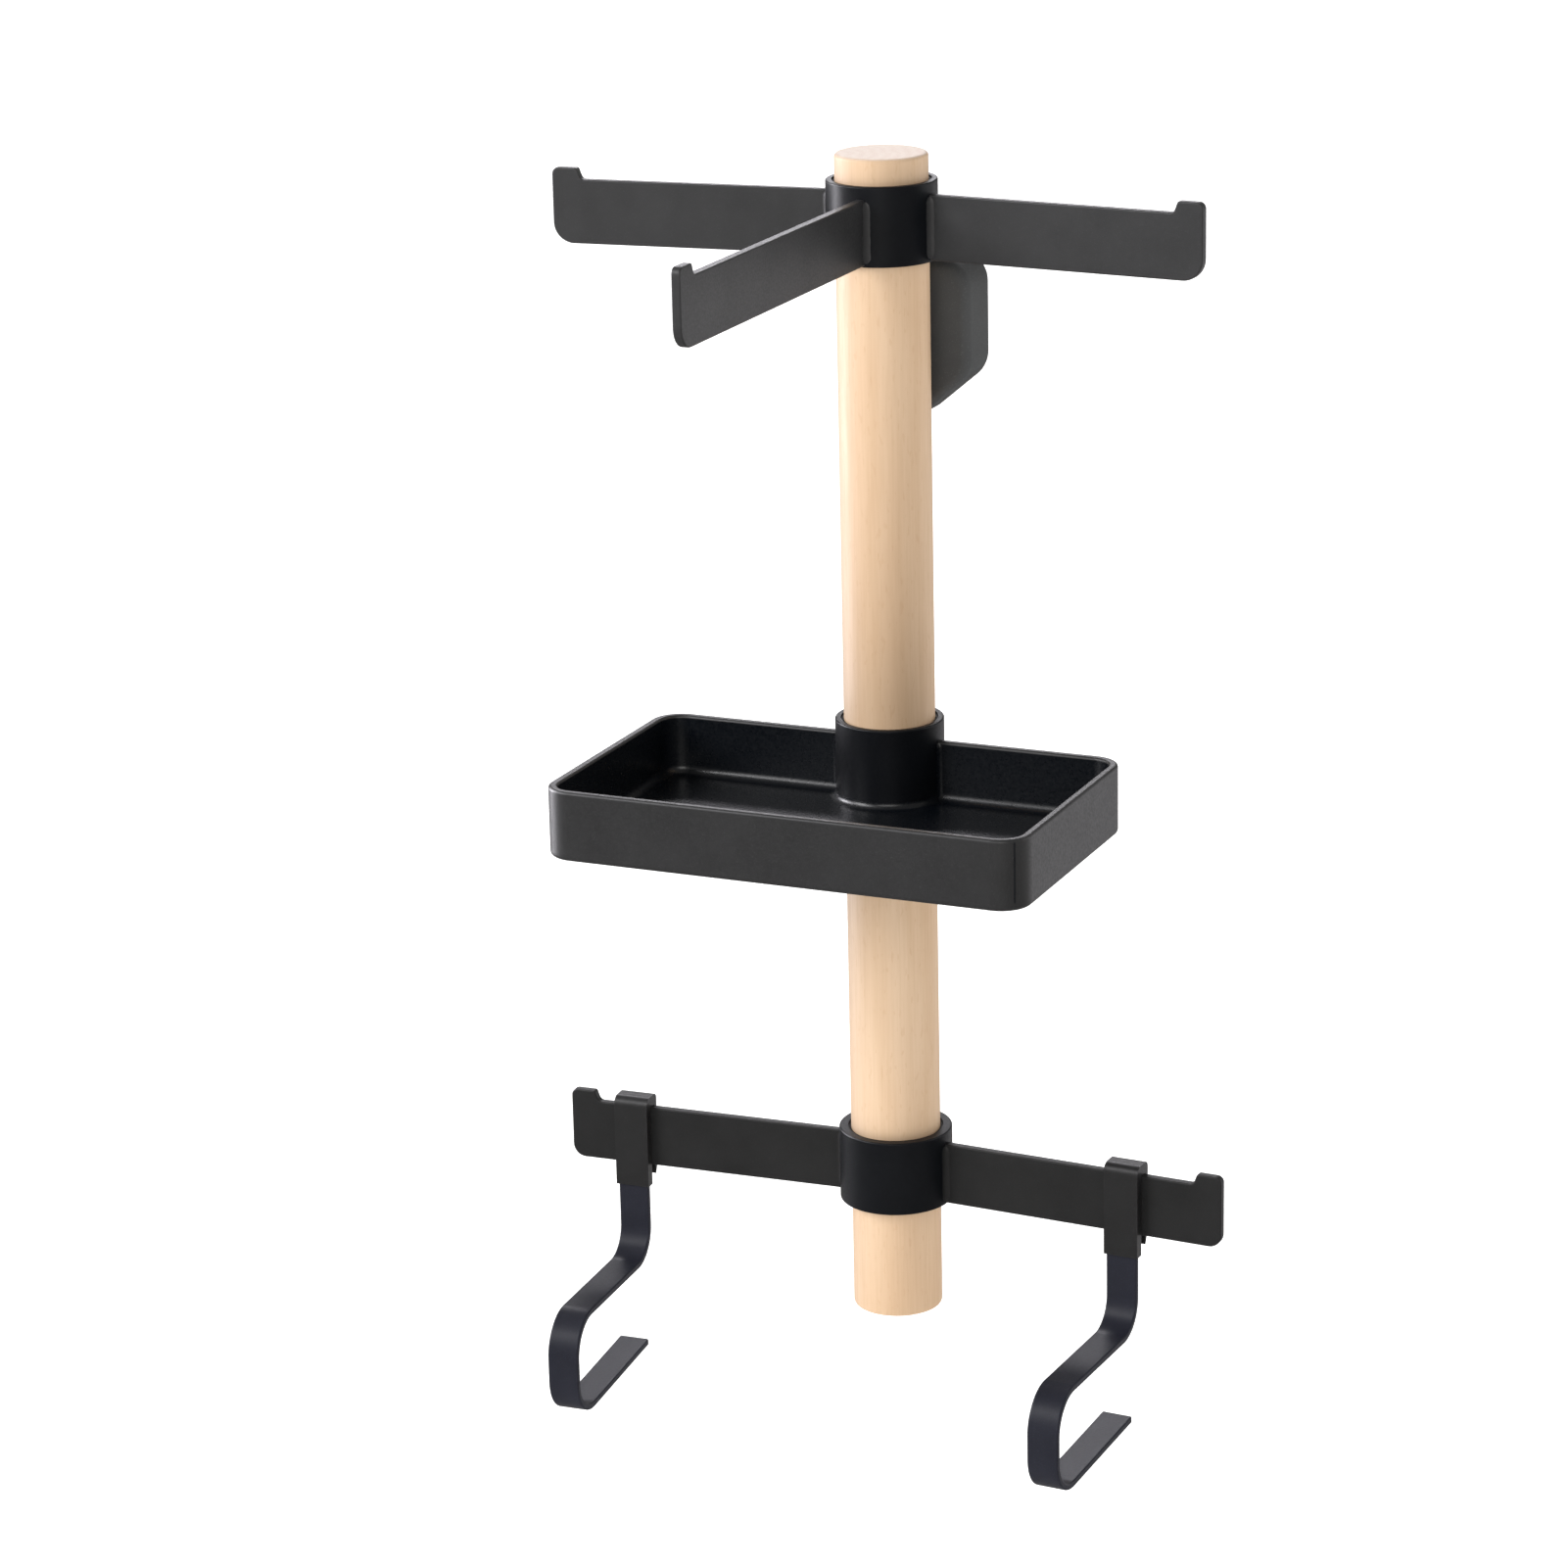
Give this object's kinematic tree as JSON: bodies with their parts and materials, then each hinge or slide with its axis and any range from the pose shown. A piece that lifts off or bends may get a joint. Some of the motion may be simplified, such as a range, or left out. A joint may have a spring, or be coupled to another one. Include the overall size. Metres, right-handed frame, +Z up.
{
  "type": "wall-held mug tree",
  "caption": "Wall-held mug tree: a wooden pole on a magnetic bracket carries sliding collars with hook arms, a shallow tray and a bar with hanging hooks.",
  "frame": {"origin": "middle of the bracket's flat face that rests on the wall", "axes": "+Z up along the pole; +Y into the wall; the tray and the front arm reach out along -Y"},
  "size_m": [0.236, 0.1908, 0.421],
  "materials": {
    "beech_wood": "fine sanded, clear matt oil",
    "black_coat": "satin black powder coat",
    "black_plastic": "satin black moulded plastic",
    "grey_plastic": "fine matt dark grey moulded plastic",
    "grip_rubber": "matt black rubber",
    "zinc_steel": "plain zinc plated steel"
  },
  "bodies": {
    "wall_unit": {"pole": "beech_wood", "bracket_shell": "grey_plastic", "bracket_back_cover": "grey_plastic", "magnet_yoke": "zinc_steel", "magnet_left": "zinc_steel", "magnet_right": "zinc_steel", "cover_screws": "zinc_steel", "pole_screws": "zinc_steel", "wall_pad": "grip_rubber"},
    "top_grip": {"top_grip_bush": "grip_rubber"},
    "top_hooks": {"top_collar": "black_coat", "top_arm_left": "black_coat", "top_arm_right": "black_coat", "top_arm_front": "black_coat"},
    "tray_grip": {"tray_grip_bush": "grip_rubber"},
    "tray": {"tray_collar": "black_coat", "tray_pan": "black_plastic"},
    "bar_grip": {"bar_grip_bush": "grip_rubber"},
    "bar": {"bar_collar": "black_coat", "bar_arm_left": "black_coat", "bar_arm_right": "black_coat"},
    "hook_left": {"hook_clip_left": "grey_plastic", "hook_strap_left": "black_coat"},
    "hook_right": {"hook_clip_right": "grey_plastic", "hook_strap_right": "black_coat"}
  },
  "joints": [
    {"name": "top_height", "type": "slide", "parent": "wall_unit", "child": "top_grip", "axis": [0, 0, 1], "range_m": [-0.0028, 0.008]},
    {"name": "top_swivel", "type": "hinge", "parent": "top_grip", "child": "top_hooks", "pos_m": [0, -0.036, 0.0414], "axis": [0, 0, 1], "range_deg": [-20, 20]},
    {"name": "tray_height", "type": "slide", "parent": "wall_unit", "child": "tray_grip", "axis": [0, 0, 1], "range_m": [-0.05, 0.09]},
    {"name": "tray_swivel", "type": "hinge", "parent": "tray_grip", "child": "tray", "pos_m": [0, -0.036, -0.1383], "axis": [0, 0, 1], "range_deg": [-20, 20]},
    {"name": "bar_height", "type": "slide", "parent": "wall_unit", "child": "bar_grip", "axis": [0, 0, 1], "range_m": [-0.038, 0.05]},
    {"name": "bar_swivel", "type": "hinge", "parent": "bar_grip", "child": "bar", "pos_m": [0, -0.036, -0.2792], "axis": [0, 0, 1], "range_deg": [-15, 15]},
    {"name": "hook_left_slide", "type": "slide", "parent": "bar", "child": "hook_left", "axis": [-0.9986, -0.0523, 0], "range_m": [-0.0677, 0.0058]},
    {"name": "hook_right_slide", "type": "slide", "parent": "bar", "child": "hook_right", "axis": [0.9986, -0.0523, 0], "range_m": [-0.0571, 0.0163]}
  ]
}
